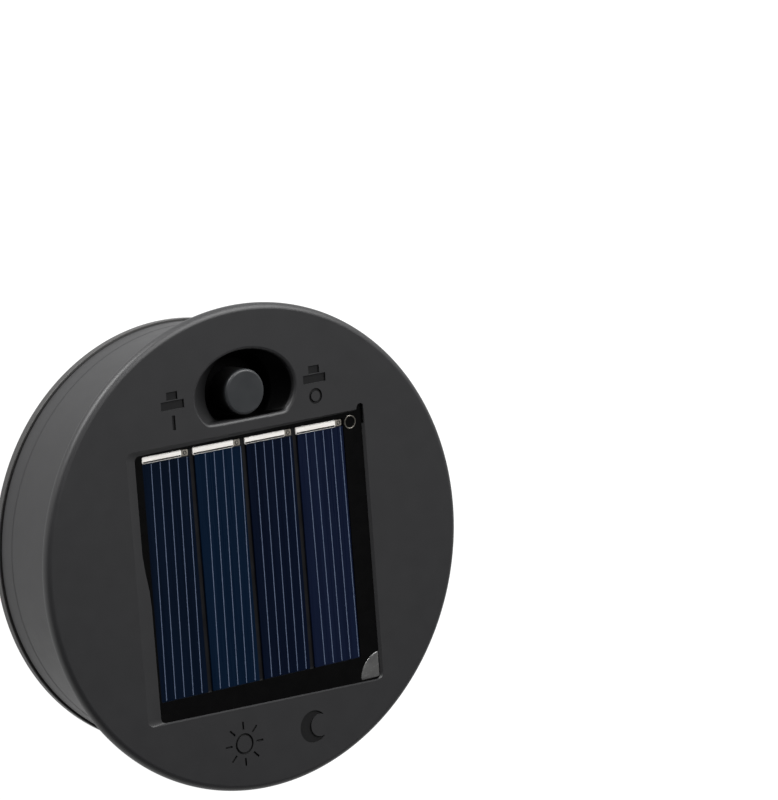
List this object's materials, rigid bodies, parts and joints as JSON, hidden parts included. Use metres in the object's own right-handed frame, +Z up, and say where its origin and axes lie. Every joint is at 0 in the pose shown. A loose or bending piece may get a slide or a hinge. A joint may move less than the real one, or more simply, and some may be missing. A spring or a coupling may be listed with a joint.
{
  "type": "solar garden light",
  "caption": "Round flanged solar light for a lantern top: solar panel and push button in the wide upper flange, frosted LED lens in the screwed cover underneath.",
  "frame": {"origin": "centre of the LED cover's lower face, on the surface that the light rests on", "axes": "+Z up out of the solar panel, +Y from the middle towards the push button, +X to the right of the panel seen with the button at the top"},
  "size_m": [0.08, 0.08, 0.0235],
  "materials": {
    "housing_black": "satin",
    "screw_zinc": "satin",
    "button_grey": "satin",
    "plunger_white": "satin",
    "switch_black": "satin",
    "spring_steel": "satin",
    "tinned_metal": "satin",
    "circuit_green": "gloss",
    "lens_frost": "satin",
    "led_warm": "gloss",
    "chip_black": "matt",
    "choke_body": "satin",
    "can_dark": "gloss",
    "diode_glass": "gloss",
    "holder_black": "satin",
    "foam_tape": "matt",
    "cell_sleeve": "gloss",
    "nickel_strip": "satin",
    "silicone_black": "satin",
    "panel_backing": "gloss",
    "resin_black": "gloss",
    "glue_grey": "gloss",
    "solar_blue": "gloss",
    "busbar_silver": "satin",
    "wire_red": "satin",
    "wire_black": "satin",
    "wire_white": "satin"
  },
  "bodies": {
    "root": {"top_housing": "housing_black", "bottom_cover": "housing_black", "cover_screws": "screw_zinc", "switch_body": "switch_black", "switch_pins": "tinned_metal", "switch_board": "circuit_green", "switch_screws": "screw_zinc", "led_lens": "lens_frost", "control_board": "circuit_green", "led_chips": "led_warm", "control_screws": "screw_zinc", "driver_chip": "chip_black", "choke_coil": "choke_body", "capacitor": "can_dark", "diode": "diode_glass", "battery_holder": "holder_black", "holder_tape": "foam_tape", "battery_cell": "cell_sleeve", "contact_plus": "nickel_strip", "contact_minus": "nickel_strip", "contact_spring": "nickel_strip", "panel_adhesive": "silicone_black", "panel_board": "panel_backing", "panel_resin": "resin_black", "panel_eyelet": "nickel_strip", "corner_glue": "glue_grey", "solar_cell_1": "solar_blue", "busbar_1": "busbar_silver", "solar_cell_2": "solar_blue", "busbar_2": "busbar_silver", "solar_cell_3": "solar_blue", "busbar_3": "busbar_silver", "solar_cell_4": "solar_blue", "busbar_4": "busbar_silver", "battery_wire_plus": "wire_red", "battery_wire_minus": "wire_black", "panel_wire_plus": "wire_red", "panel_wire_minus": "wire_black", "switch_wire_1": "wire_white", "switch_wire_2": "wire_white"},
    "button": {"button_cap": "button_grey", "switch_plunger": "plunger_white", "switch_spring": "spring_steel"}
  },
  "joints": [
    {"name": "button_press", "type": "slide", "parent": "root", "child": "button", "axis": [0, 0, -1], "range_m": [0, 0.0018], "stiffness_N_per_m": 600, "springref_m": -0.0012, "deforming": ["switch_spring"]}
  ]
}
